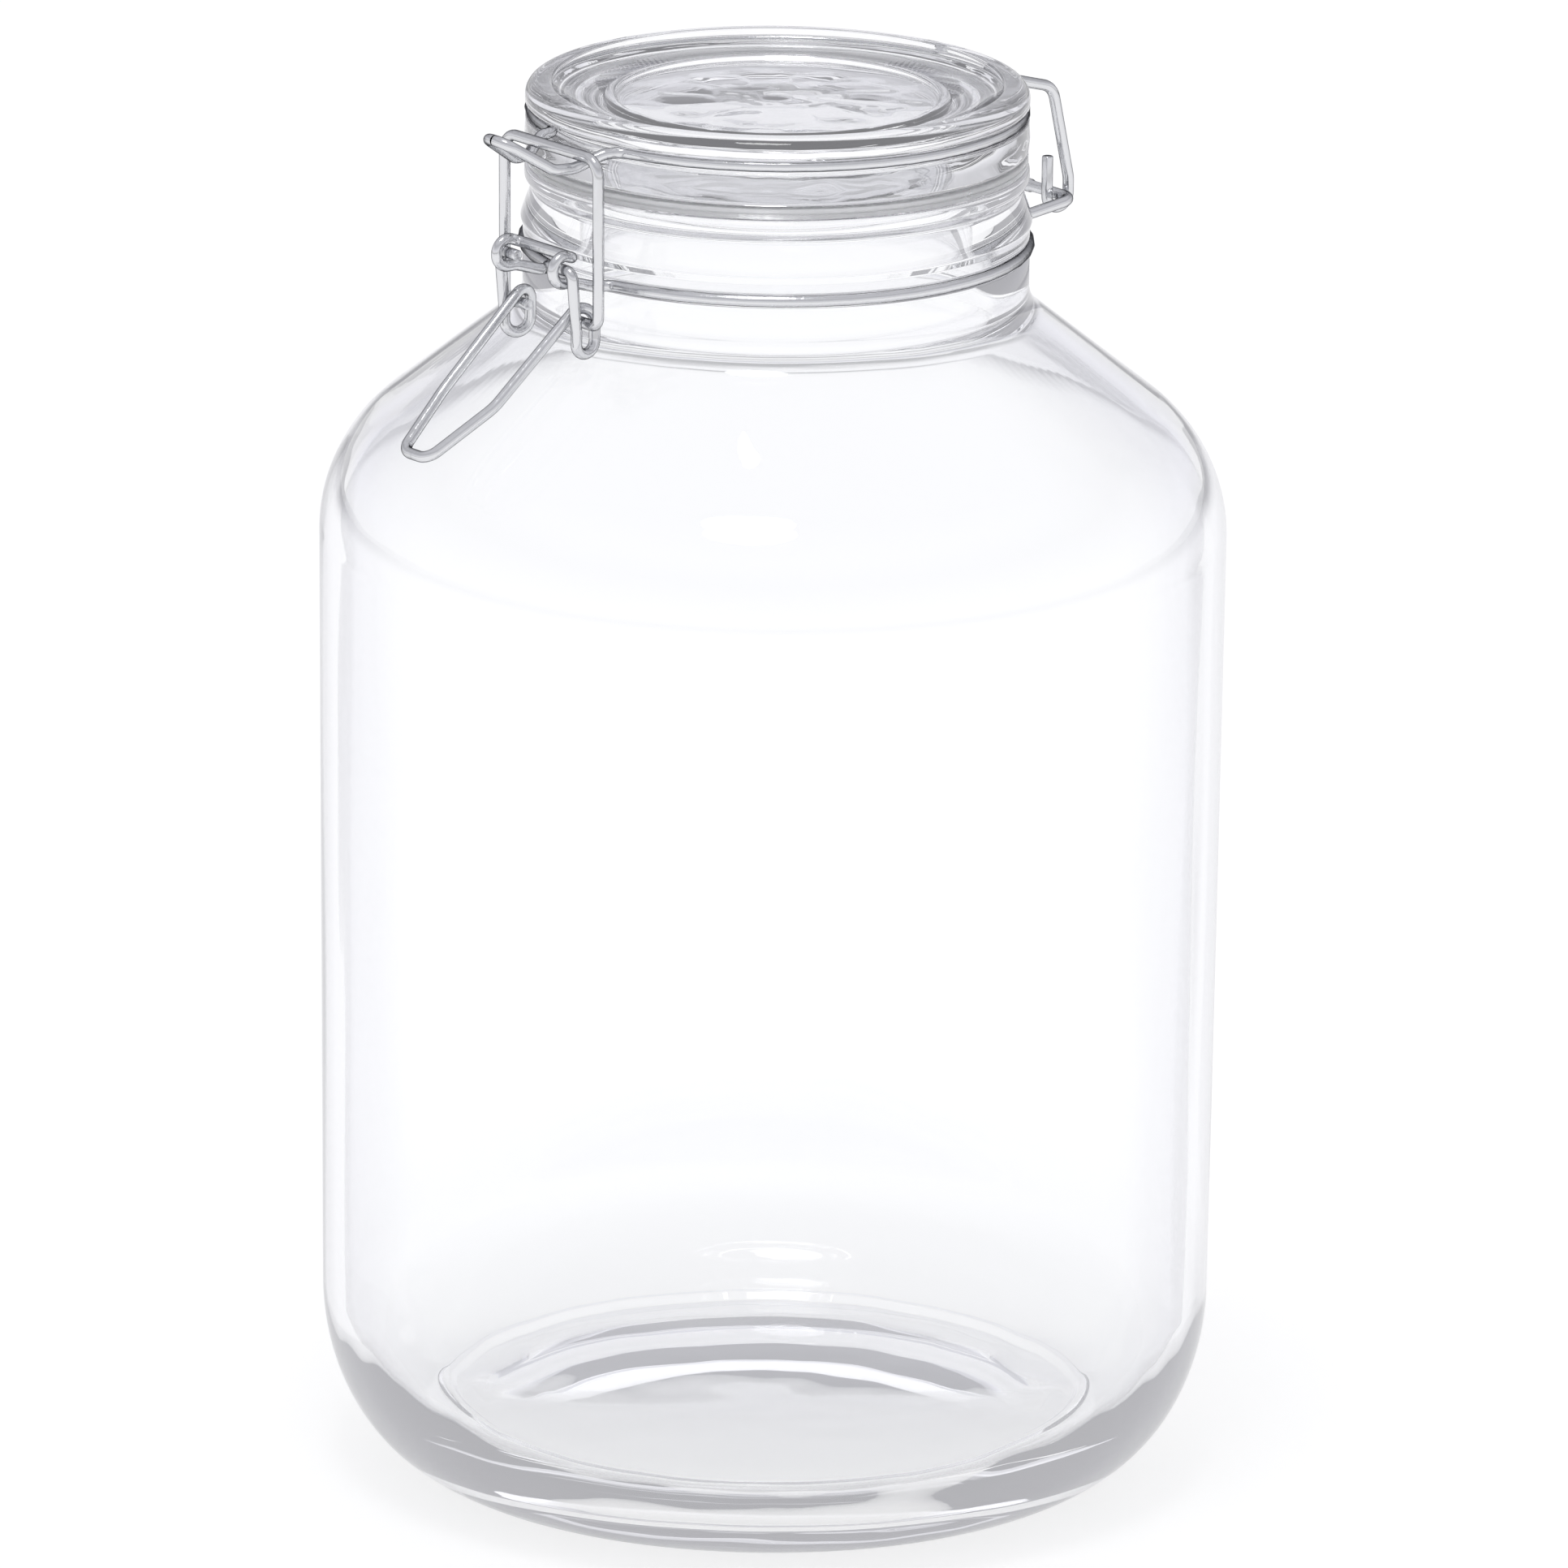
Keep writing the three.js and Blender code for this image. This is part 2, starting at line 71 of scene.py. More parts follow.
jar_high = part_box("jar_glass")[1]
lid_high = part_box("lid_glass")[1]
seal_low, seal_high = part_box("gasket")
body_radius = jar_high.x
mouth_z = jar_high.z
rim_radius = lid_high.x
seat_z = seal_high.z + 0.3 * MM
lid_top = lid_high.z
print("body radius", body_radius, "mouth", mouth_z, "lid seat", seat_z)

# %% [markdown]
# ## Turned outlines
# Glass like this is pressed or blown in a round mould, so each piece is one outline swept round the
# jar's axis. A modelled cylinder with bevels would need many loops to be moved by hand. An outline
# of straights and arcs, spun once, gives the same surface with its thickness and inner wall.

# %% Outline helpers
SPIN_STEPS = 192


def arc(centre, radii, start, end, count=12):
    """Points of an ellipse's arc in an outline, from start to end in degrees."""
    return [
        (
            centre[0] + radii[0] * cos(radians(start + (end - start) * i / count)),
            centre[1] + radii[1] * sin(radians(start + (end - start) * i / count)),
        )
        for i in range(count + 1)
    ]


def softened(outline, radius, count=4):
    """The outline with its sharp corners rounded to about the radius."""
    points = [Vector(point) for point in outline]
    result = [points[0]]
    for before, here, after in zip(points, points[1:], points[2:]):
        back, on = before - here, after - here
        turn = pi - back.angle(on)
        reach = min(radius * tan(turn / 2), back.length * 0.45, on.length * 0.45)
        if turn < radians(14):
            result.append(here)
            continue
        start, end = here + back.normalized() * reach, here + on.normalized() * reach
        for i in range(count + 1):
            t = i / count
            result.append(start * (1 - t) ** 2 + here * 2 * t * (1 - t) + end * t * t)
    result.append(points[-1])
    return result


def spun(name, outline, closed=False):
    """A mesh object made by turning an outline of (radius, height) points round the Z axis."""
    bm = bmesh.new()
    verts = [bm.verts.new((point[0], 0, point[1])) for point in outline]
    edges = [bm.edges.new(pair) for pair in zip(verts, verts[1:])]
    if closed:
        edges.append(bm.edges.new((verts[-1], verts[0])))
    bmesh.ops.spin(
        bm, geom=verts + edges, cent=(0, 0, 0), axis=(0, 0, 1),
        angle=2 * pi, steps=SPIN_STEPS, use_merge=True,
    )
    bmesh.ops.remove_doubles(bm, verts=bm.verts, dist=1e-6)
    bmesh.ops.recalc_face_normals(bm, faces=bm.faces)
    return finished(name, bm)


def finished(name, bm):
    """Turns a bmesh into a smooth-shaded object at the origin."""
    for face in bm.faces:
        face.smooth = True
    mesh = bpy.data.meshes.new(name)
    bm.to_mesh(mesh)
    bm.free()
    piece = bpy.data.objects.new(name, mesh)
    scene.collection.objects.link(piece)
    print(name, len(mesh.polygons), "faces")
    return piece


# %% [markdown]
# ## The jar
# The wall is 4.8 mm thick, and the jar is a little slimmer above the heel than under the shoulder. It
# stands on a flat ring, inside which the base is pushed up, and a low bead runs round the floor
# inside. The shoulder is an arc that runs on straight and blends into the neck in a wide hollow. The
# neck carries a groove for the wire, a faint rib and the rim. The outline runs up the outside, over
# the rim and down the inside, so the glass is a real, closed thickness.

# %% The jar's outline
WALL = 4.8 * MM
SHOULDER_ARC = 31 * MM
SHOULDER_SWEEP = 51.5
NECK_FILLET = 8 * MM
NECK_HEIGHT = 23.59 * MM
NECK_WALL = 7 * MM
NECK_RIB = 0.5 * MM
WAIST_STEP = 1.7 * MM
RIM_HEIGHT = 4.4 * MM
WIRE = 1.1 * MM
WIRE_GROOVE = WIRE + 0.36 * MM
HEEL_HEIGHT = 36 * MM
FOOT_OUTER = 61 * MM
FOOT_INNER = 56 * MM
PUSH_UP = 4.5 * MM
PUSH_UP_ARC = 300 * MM
PUSH_UP_RADIUS = 44 * MM
BEAD_RADIUS = 64.6 * MM
BEAD_RISE = 0.7 * MM

neck_radius = rim_radius + 0.2 * MM
neck_wire_z = mouth_z - 15.6 * MM
neck_wire_radius = neck_radius - 0.1 * MM
mouth_radius = neck_radius - NECK_WALL
heel_radius = body_radius - 1.1 * MM
floor_z = PUSH_UP + 7 * MM
shoulder_centre = body_radius - SHOULDER_ARC
fillet_centre = neck_radius + NECK_FILLET
neck_start = mouth_z - NECK_HEIGHT
sweep = radians(SHOULDER_SWEEP)
shoulder_run = shoulder_centre + SHOULDER_ARC * cos(sweep) - fillet_centre + NECK_FILLET * cos(sweep)
body_top = neck_start - (SHOULDER_ARC + NECK_FILLET) * sin(sweep) - shoulder_run / tan(sweep)
print("shoulder starts at", body_top)


def groove(wall_radius, ring_radius, z):
    """A half-round groove, for a ring of wire, in a wall that rises."""
    depth = wall_radius - ring_radius
    edge = degrees(atan2(sqrt(WIRE_GROOVE ** 2 - depth ** 2), depth))
    return arc((ring_radius, z), (WIRE_GROOVE, WIRE_GROOVE), -edge, edge - 360, 14)


def jar_outline():
    heel_run = heel_radius - FOOT_OUTER
    inner_heel = heel_run - WALL, HEEL_HEIGHT - floor_z + 1 * MM
    inner_arc = SHOULDER_ARC - WALL
    inner_run = shoulder_centre + inner_arc * cos(sweep) - mouth_radius
    inner_neck_z = body_top + inner_arc * sin(sweep) + inner_run / tan(sweep)
    dome = degrees(asin(PUSH_UP_RADIUS / PUSH_UP_ARC))
    outside = [
        *arc((0, PUSH_UP - PUSH_UP_ARC), (PUSH_UP_ARC, PUSH_UP_ARC), 90, 90 - dome, 10),
        (FOOT_INNER, 0.2 * MM),
        (FOOT_INNER + 0.8 * MM, 0),
        *arc((FOOT_OUTER, HEEL_HEIGHT), (heel_run, HEEL_HEIGHT), -90, 0, 28),
        *arc((shoulder_centre, body_top), (SHOULDER_ARC, SHOULDER_ARC), 0, SHOULDER_SWEEP, 24),
        *arc((fillet_centre, neck_start), (NECK_FILLET, NECK_FILLET), SHOULDER_SWEEP - 180, -180, 8),
        *groove(neck_radius, neck_wire_radius, neck_wire_z),
    ]
    groove_top = neck_wire_z + WIRE_GROOVE
    waist_z = mouth_z - RIM_HEIGHT
    rib_z = (groove_top + waist_z) / 2
    rim = softened(
        [
            (neck_radius, groove_top + 0.3 * MM),
            (neck_radius, rib_z - 3 * MM),
            (neck_radius + NECK_RIB, rib_z - 1.5 * MM),
            (neck_radius, rib_z),
            (neck_radius - WAIST_STEP, waist_z),
            (rim_radius, mouth_z - 2.6 * MM),
            (rim_radius, mouth_z),
            (mouth_radius, mouth_z),
            (mouth_radius, inner_neck_z),
            (shoulder_centre + inner_arc * cos(sweep), body_top + inner_arc * sin(sweep)),
        ],
        1.2 * MM,
    )
    inside = [
        *arc((shoulder_centre, body_top), (inner_arc, inner_arc), SHOULDER_SWEEP, 0, 24),
        *arc((FOOT_OUTER, HEEL_HEIGHT), inner_heel, 0, -70, 20),
        *softened(
            [
                (BEAD_RADIUS + 2.4 * MM, floor_z - 0.1 * MM),
                (BEAD_RADIUS + 1.6 * MM, floor_z - 0.2 * MM),
                (BEAD_RADIUS + 0.7 * MM, floor_z + BEAD_RISE),
                (BEAD_RADIUS - 0.9 * MM, floor_z + BEAD_RISE),
                (BEAD_RADIUS - 2.2 * MM, floor_z - BEAD_RISE),
                (BEAD_RADIUS - 5 * MM, floor_z - BEAD_RISE),
            ],
            0.6 * MM,
        ),
        (FOOT_INNER * 0.8, floor_z),
        (FOOT_INNER * 0.4, floor_z + 0.4 * MM),
        (0, floor_z + 0.5 * MM),
    ]
    return [*outside, *rim, *inside]


jar = spun("jar_glass_body", jar_outline())

# %% [markdown]
# ## The lid
# The lid is pressed: a flange that sits on the seal, a groove for its wire, a rounded crown and a
# shallow dish on top. Under it a low ring keeps the seal in the middle. A plain wreath stands a
# little proud of the dish. The wreath is raised out of the spun surface itself, because a separate
# ring would leave a boundary inside the glass that light bends at.

# %% The lid's outline and its wreath
LID_FLANGE = 6.3 * MM
LID_WALL = 5.4 * MM
DISH_DEPTH = 3.4 * MM
DISH_RADIUS = 32.5 * MM
BOSS_DEPTH = 2.4 * MM
CROWN_ROUND = 2.8 * MM
CROWN_HEIGHT = 2.6 * MM
CROWN_LIP = 1.2 * MM
WREATH_INNER = 12 * MM
WREATH_OUTER = 25 * MM
WREATH_RISE = 0.16 * MM
WREATH_LEAVES = 12

lid_wire_z = seat_z + LID_FLANGE + WIRE + 0.42 * MM
lid_wire_radius = rim_radius - WIRE
dish_z = lid_top - DISH_DEPTH
boss_radius = rim_radius - 6.6 * MM


def lid_outline():
    boss_z = seat_z - BOSS_DEPTH
    under = dish_z - LID_WALL
    lip_radius = rim_radius - 0.1 * MM - CROWN_ROUND - 1.5 * MM
    below = [
        (0, under),
        (boss_radius - 8 * MM, under),
        (boss_radius - 4.5 * MM, boss_z),
        (boss_radius, boss_z),
        (boss_radius, seat_z),
        (rim_radius - 0.2 * MM, seat_z),
        (rim_radius, seat_z + LID_FLANGE / 2),
        (rim_radius - 0.2 * MM, lid_wire_z - WIRE_GROOVE - 0.4 * MM),
    ]
    crown = [
        (rim_radius - 0.1 * MM, lid_wire_z + WIRE_GROOVE + 0.3 * MM),
        *arc(
            (rim_radius - 0.1 * MM - CROWN_ROUND, lid_top - CROWN_HEIGHT),
            (CROWN_ROUND, CROWN_HEIGHT), 0, 90, 10,
        ),
        *arc((lip_radius, lid_top - CROWN_LIP), (CROWN_LIP, CROWN_LIP), 90, 160, 5),
    ]
    bead = arc((DISH_RADIUS, dish_z + 0.1 * MM), (1.3 * MM, 0.9 * MM), 0, 180, 8)
    dish = [(DISH_RADIUS - (2 + i) * MM, dish_z + 0.012 * MM * i) for i in range(29)]
    return [
        *softened(below, 1.0 * MM),
        *groove(rim_radius - 0.2 * MM, lid_wire_radius, lid_wire_z),
        *crown,
        *bead,
        *dish,
        (0, dish_z + 0.5 * MM),
    ]


lid = spun("lid_glass_disc", lid_outline())


def raise_wreath(piece, inner, outer, leaves, height):
    """Lifts a ring of plain leaves out of the lid's dish."""
    for vertex in piece.data.vertices:
        radius = hypot(vertex.co.x, vertex.co.y)
        if vertex.co.z < dish_z - 1 * MM or not inner < radius < outer:
            continue
        across = sin(pi * (radius - inner) / (outer - inner))
        turn = atan2(vertex.co.y, vertex.co.x) * leaves / 2 + 0.5 * (radius - inner) / (outer - inner)
        vertex.co.z += height * across * abs(cos(turn)) ** 0.6


raise_wreath(lid, WREATH_INNER, WREATH_OUTER, WREATH_LEAVES, WREATH_RISE)

# %% [markdown]
# ## The seal
# The sealing ring is a flat moulded band of clear silicone. It only shows as a pale line between
# the lid and the rim, so a rounded band with a thin lip is all that it needs.

# %% The sealing ring
def seal_outline():
    inner = rim_radius - 6.3 * MM
    outer = rim_radius - 0.3 * MM
    low, high = seal_low.z, seal_high.z
    middle = (low + high) / 2
    return softened(
        [
            (inner, middle), (inner, low), (outer, low), (outer, middle - 0.2 * MM),
            (outer - 0.25 * MM, middle), (outer, middle + 0.2 * MM), (outer, high),
            (inner, high), (inner, middle + 0.01 * MM),
        ],
        0.4 * MM,
    )


seal = spun("sealing_ring", seal_outline(), closed=True)

# %% [markdown]
# ## Bending wire
# Every wire is round steel bent on pegs: straights, bends, and here and there a coil. A curve with a
# round bevel would do, but its bends follow handles, not pegs. Here a small circle of edges is
# pushed along each straight and spun round each peg, as the real wire is, so every bend is a true
# arc. One half is bent and then mirrored, since each wire is the same on both sides of the clasp.

# %% The wire bender
WIRE_SIDES = 20


class BentWire:
    """A wire being bent. It grows from a ring of edges that is pushed on or spun round a peg."""

    def __init__(self, place, heading, radius=WIRE, cut_end=True):
        self.bm = bmesh.new()
        self.place = place.copy()
        self.heading = heading.normalized()
        turn = self.heading.to_track_quat("Z", "Y").to_matrix().to_4x4()
        ring = bmesh.ops.create_circle(
            self.bm, cap_ends=cut_end, radius=radius, segments=WIRE_SIDES,
            matrix=Matrix.Translation(place) @ turn,
        )
        self.edges = list({edge for vert in ring["verts"] for edge in vert.link_edges})
        self.cuts = list(self.edges) if cut_end else []

    def push(self, end, scale=1.0):
        """A straight on to a place, with the wire's thickness scaled on the way."""
        grown = bmesh.ops.extrude_edge_only(self.bm, edges=self.edges)["geom"]
        verts = [item for item in grown if isinstance(item, bmesh.types.BMVert)]
        fresh = set(verts)
        self.edges = [
            item for item in grown
            if isinstance(item, bmesh.types.BMEdge) and set(item.verts) <= fresh
        ]
        bmesh.ops.translate(self.bm, verts=verts, vec=end - self.place)
        if scale != 1.0:
            bmesh.ops.scale(self.bm, verts=verts, vec=(scale,) * 3, space=Matrix.Translation(-end))
        self.place = end.copy()

    def turn(self, peg, axis, angle, shift=Vector((0, 0, 0))):
        """A bend round a peg, in degrees, that slides by shift on the way, as in a coil."""
        steps = max(3, int(abs(angle) / 7.5))
        grown = bmesh.ops.spin(
            self.bm, geom=self.edges + list({v for e in self.edges for v in e.verts}), cent=peg,
            axis=axis, dvec=shift / steps, angle=radians(angle), steps=steps, use_duplicate=False,
        )["geom_last"]
        self.edges = [item for item in grown if isinstance(item, bmesh.types.BMEdge)]
        swing = Matrix.Rotation(radians(angle), 3, axis)
        self.place = peg + swing @ (self.place - peg) + shift
        self.heading = swing @ self.heading

    def run(self, corners):
        """Straights to each corner in turn, with a bend of the corner's radius there."""
        places = [self.place.copy()] + [place for place, _ in corners]
        for i, (place, radius) in enumerate(corners):
            if i == len(corners) - 1:
                self.push(place)
                continue
            back, on = (places[i] - place).normalized(), (places[i + 2] - place).normalized()
            angle = pi - back.angle(on)
            self.push(place + back * radius * tan(angle / 2))
            peg = place + (back + on).normalized() * radius / cos(angle / 2)
            self.turn(peg, on.cross(back).normalized() * -1, -degrees(angle))

    def mirrored(self, name):
        """Rounds the cut ends, adds the other half and returns the finished piece."""
        if self.cuts:
            bmesh.ops.bevel(
                self.bm, geom=self.cuts, offset=0.22 * MM, offset_type="OFFSET", segments=2,
                profile=0.5, affect="EDGES", material=-1,
            )
        whole = self.bm.verts[:] + self.bm.edges[:] + self.bm.faces[:]
        bmesh.ops.mirror(self.bm, geom=whole, axis="X", merge_dist=0)
        bmesh.ops.remove_doubles(self.bm, verts=self.bm.verts, dist=2e-6)
        bmesh.ops.recalc_face_normals(self.bm, faces=self.bm.faces)
        return finished(name, self.bm)


# %% [markdown]
# ## Rings round the glass
# The neck wire and the lid wire both run round the glass and leave it in straight arms. The bend
# from the ring into an arm is a small arc that touches both, and where it touches follows from the
# ring's radius, the arm's place and the bend's radius.

# %% From an arm into a ring and out again
SIDEWAYS = Vector((1, 0, 0))
UP = Vector((0, 0, 1))
RING_BEND = 3 * MM


def ring_bend(ring_radius, across, bend, side):
    """The peg between a ring and an arm, on the hinge's side (1) or the clasp's side (-1)."""
    out = sqrt((ring_radius + bend) ** 2 - (across + bend) ** 2)
    return Vector((across + bend, side * out, 0)), asin((across + bend) / (ring_radius + bend))


def round_the_ring(wire, ring_radius, z, arm_in, arm_out, bend):
    """Bends a wire from a hinge-side arm, round half of a ring, into a clasp-side arm."""
    peg_in, angle_in = ring_bend(ring_radius, arm_in, bend, 1)
    peg_out, angle_out = ring_bend(ring_radius, arm_out, bend, -1)
    peg_in.z = peg_out.z = z
    wire.push(Vector((arm_in, peg_in.y, z)))
    wire.turn(peg_in, UP, 90 - degrees(angle_in))
    wire.turn(Vector((0, 0, z)), UP, -(180 - degrees(angle_in) - degrees(angle_out)))
    wire.turn(peg_out, UP, 90 - degrees(angle_out))


# %% [markdown]
# ## The neck wire
# It starts in the middle of the hinge bar, where its ends are butt-welded under a small bead. An arm
# brings it to the groove in the neck, it runs round to the clasp, and there each side makes an eye
# for the lever. A short bridge joins the two eyes.

# %% The neck wire
EYE_PLANE = 8.7 * MM
HINGE_ARM = 13.6 * MM
EYE_RADIUS = 2 * WIRE + 0.5 * MM
EYE_WRAP = 200
BRIDGE_BEND = 1.9 * MM
ARM_BEND = 4 * MM
WELD_BEAD = 1.22
clear_of_neck = neck_radius + WIRE + 1 * MM


def at_clasp(across, out, up):
    return Vector((across, -out, up))


def make_neck_wire():
    bar_out, bar_up = hinge_bar.y, hinge_bar.z
    wire = BentWire(Vector((0, bar_out, bar_up)), SIDEWAYS, WIRE * WELD_BEAD, cut_end=False)
    wire.push(Vector((0.5 * MM, bar_out, bar_up)))
    wire.push(Vector((0.85 * MM, bar_out, bar_up)), 1 / WELD_BEAD)
    wire.run([
        (Vector((HINGE_ARM, bar_out, bar_up)), RING_BEND),
        (Vector((HINGE_ARM, clear_of_neck + 1.5 * MM, neck_wire_z)), ARM_BEND),
        (Vector((HINGE_ARM, clear_of_neck, neck_wire_z)), 0),
    ])
    round_the_ring(wire, neck_wire_radius, neck_wire_z, HINGE_ARM, EYE_PLANE, RING_BEND)
    pivot_out, pivot_up = -lever_pivot.y, lever_pivot.z
    wire.run([
        (at_clasp(EYE_PLANE, clear_of_neck, neck_wire_z), ARM_BEND),
        (at_clasp(EYE_PLANE, pivot_out - 2 * MM, pivot_up - EYE_RADIUS), ARM_BEND),
        (at_clasp(EYE_PLANE, pivot_out, pivot_up - EYE_RADIUS), 0),
    ])
    wire.turn(Vector((EYE_PLANE, lever_pivot.y, lever_pivot.z)), SIDEWAYS, -EYE_WRAP)
    corner = wire.place + wire.heading * (BRIDGE_BEND + 0.1 * MM)
    wire.run([(corner, BRIDGE_BEND), (Vector((0, corner.y, corner.z)), 0)])
    return wire.mirrored("neck_wire_bent")


neck_wire = make_neck_wire()

# %% [markdown]
# ## The lid wire
# Its two ends are hooks that turn on the hinge bar, each with a short stub so that it can't slip
# off. From the hooks the legs rise to the lid's groove, and at the clasp the wire runs out into a
# nose for the bail to press on.

# %% The lid wire
HOOK_PLANE = 8.6 * MM
HOOK_STUB = 8 * MM
LEG_BEND = 6 * MM
LEG_LEAN = 4.4 * MM
NOSE_HALF = 10 * MM
nose_seat = lid_wire_z - 2.6 * MM
nose_tip = Vector((0, -(lid_wire_radius + 21.5 * MM), nose_seat + 6.1 * MM))
bar_out = -bail_pivot.y + 0.3 * MM
bar_up = nose_seat + 2 * WIRE + 0.8 * MM


def make_lid_wire():
    inner, outer = hinge_bar.y - EYE_RADIUS, hinge_bar.y + EYE_RADIUS
    wire = BentWire(Vector((HOOK_PLANE, inner, hinge_bar.z + HOOK_STUB)), -UP)
    wire.push(Vector((HOOK_PLANE, inner, hinge_bar.z)))
    wire.turn(Vector((HOOK_PLANE, hinge_bar.y, hinge_bar.z)), SIDEWAYS, 180)
    wire.run([
        (Vector((HOOK_PLANE, outer, hinge_bar.z + 3 * MM)), LEG_BEND),
        (Vector((HOOK_PLANE, outer - LEG_LEAN, lid_wire_z - 3 * MM)), ARM_BEND),
        (Vector((HOOK_PLANE, rim_radius + 2.5 * MM, lid_wire_z)), LEG_BEND),
        (Vector((HOOK_PLANE, rim_radius + 1.5 * MM, lid_wire_z)), 0),
    ])
    round_the_ring(wire, lid_wire_radius, lid_wire_z, HOOK_PLANE, NOSE_HALF, RING_BEND)
    wire.run([
        (at_clasp(NOSE_HALF - 0.3 * MM, rim_radius + 1.5 * MM, lid_wire_z), RING_BEND),
        (at_clasp(NOSE_HALF - 3 * MM, bar_out, nose_seat), ARM_BEND),
        (at_clasp(NOSE_HALF - 4 * MM, bar_out + 4 * MM, nose_seat), ARM_BEND),
        (nose_tip + 3 * MM * SIDEWAYS, 2.9 * MM),
        (nose_tip, 0),
    ])
    return wire.mirrored("lid_wire_bent")


lid_wire = make_lid_wire()

# %% [markdown]
# ## The thumb lever
# Each side starts as a pin through the neck wire's eye, drops as a strand, makes an oblong coil for
# the bail's end and leaves as an arm. The two arms meet in a round loop for the thumb. The loop
# stands off the shoulder, so a fingertip fits behind it.

# %% The lever
STRAND_PLANE = EYE_PLANE + 2 * WIRE + 0.3 * MM
ARM_PLANE = STRAND_PLANE - 2 * WIRE - 0.3 * MM
BAIL_PLANE = STRAND_PLANE + 2 * WIRE + 1.1 * MM
COIL_SLACK = 3.3 * MM
LEVER_LENGTH = 40.2 * MM
KNEE = 0.61
KNEE_HALF = 8 * MM
FINGER_GAP = 11.2 * MM
TIP_HALF = 3.9 * MM


def lever_tip():
    """(out, up) of the lever's tip: a lever's length from the bail's pivot, off the shoulder's arc."""
    centre = Vector((shoulder_centre, body_top))
    pivot = Vector((-bail_pivot.y, bail_pivot.z))
    apart = (pivot - centre).length
    along = (apart ** 2 + LEVER_LENGTH ** 2 - (SHOULDER_ARC + FINGER_GAP) ** 2) / (2 * apart)
    aside = sqrt(LEVER_LENGTH ** 2 - along ** 2)
    down = (centre - pivot).normalized()
    return pivot + down * along + Vector((-down.y, down.x)) * aside


def make_lever():
    tip = lever_tip()
    pivot_out, pivot_up = -lever_pivot.y, lever_pivot.z
    coil_out, coil_up = -bail_pivot.y, bail_pivot.z
    strand_out = coil_out + EYE_RADIUS
    foot = coil_up - COIL_SLACK
    wire = BentWire(at_clasp(EYE_PLANE - 3.2 * MM, pivot_out, pivot_up), SIDEWAYS)
    wire.run([
        (at_clasp(STRAND_PLANE, pivot_out, pivot_up), 1.6 * MM),
        (at_clasp(STRAND_PLANE, strand_out, foot + 2 * MM), 3 * MM),
        (at_clasp(STRAND_PLANE, strand_out, foot), 0),
    ])
    step_in = Vector((ARM_PLANE - STRAND_PLANE, 0, 0))
    wire.turn(at_clasp(STRAND_PLANE, coil_out, foot), SIDEWAYS, 180, step_in * 0.5)
    wire.push(at_clasp(wire.place.x, -wire.place.y, coil_up))
    knee = Vector((coil_out, coil_up)).lerp(tip, KNEE)
    heading = degrees(atan2(tip.y - coil_up, tip.x - coil_out))
    leave = heading - degrees(asin(EYE_RADIUS / (KNEE * LEVER_LENGTH))) + 90
    wire.turn(at_clasp(wire.place.x, coil_out, coil_up), SIDEWAYS, 180 - leave, step_in * 0.5)
    wire.run([
        (at_clasp(KNEE_HALF, knee.x, knee.y), 12 * MM),
        (at_clasp(TIP_HALF, tip.x, tip.y), TIP_HALF * 0.85),
        (at_clasp(0, tip.x, tip.y), 0),
    ])
    return wire.mirrored("lever_wire_bent")


lever = make_lever()

# %% [markdown]
# ## The bail
# The bail is a plain hoop. Its ends turn inward through the lever's coils, and its bar lies across
# the lid wire's nose.

# %% The bail
def make_bail():
    coil_out, coil_up = -bail_pivot.y, bail_pivot.z
    wire = BentWire(at_clasp(ARM_PLANE - WIRE - 0.6 * MM, coil_out, coil_up), SIDEWAYS)
    wire.run([
        (at_clasp(BAIL_PLANE, coil_out, coil_up), 2 * MM),
        (at_clasp(BAIL_PLANE, bar_out, bar_up), 3.6 * MM),
        (at_clasp(0, bar_out, bar_up), 0),
    ])
    return wire.mirrored("bail_wire_bent")


bail = make_bail()

# %% [markdown]
# ## Waver
# Moulded glass is never quite flat: it wavers slowly where it stretched, and drawn wire carries fine
# marks. One node group gives both. It turns a stretched noise into a bumped normal, and each
# material sets its own scale, stretch and depth.

# %% The waver group
def build_waver():
    group = bpy.data.node_groups.new("surface_waver", "ShaderNodeTree")
    face = group.interface
    for name, value in (("Scale", 10.0), ("Stretch", 1.0), ("Detail", 2.0), ("Depth", 0.001)):
        face.new_socket(name=name, in_out="INPUT", socket_type="NodeSocketFloat").default_value = value
    face.new_socket(name="Mask", in_out="OUTPUT", socket_type="NodeSocketFloat")
    face.new_socket(name="Normal", in_out="OUTPUT", socket_type="NodeSocketVector")
    nodes, links = group.nodes, group.links
    given, result = nodes.new("NodeGroupInput"), nodes.new("NodeGroupOutput")
    where = nodes.new("ShaderNodeTexCoord")
    squeeze = nodes.new("ShaderNodeCombineXYZ")
    squeeze.inputs["X"].default_value = 1
    squeeze.inputs["Y"].default_value = 1
    links.new(given.outputs["Stretch"], squeeze.inputs["Z"])
    place = nodes.new("ShaderNodeMapping")
    links.new(where.outputs["Object"], place.inputs["Vector"])
    links.new(squeeze.outputs["Vector"], place.inputs["Scale"])
    noise = nodes.new("ShaderNodeTexNoise")
    links.new(place.outputs["Vector"], noise.inputs["Vector"])
    links.new(given.outputs["Scale"], noise.inputs["Scale"])
    links.new(given.outputs["Detail"], noise.inputs["Detail"])
    bump = nodes.new("ShaderNodeBump")
    links.new(noise.outputs["Fac"], bump.inputs["Height"])
    links.new(given.outputs["Depth"], bump.inputs["Distance"])
    links.new(noise.outputs["Fac"], result.inputs["Mask"])
    links.new(bump.outputs["Normal"], result.inputs["Normal"])
    return group


waver = build_waver()
print("waver sockets", [socket.name for socket in waver.interface.items_tree])

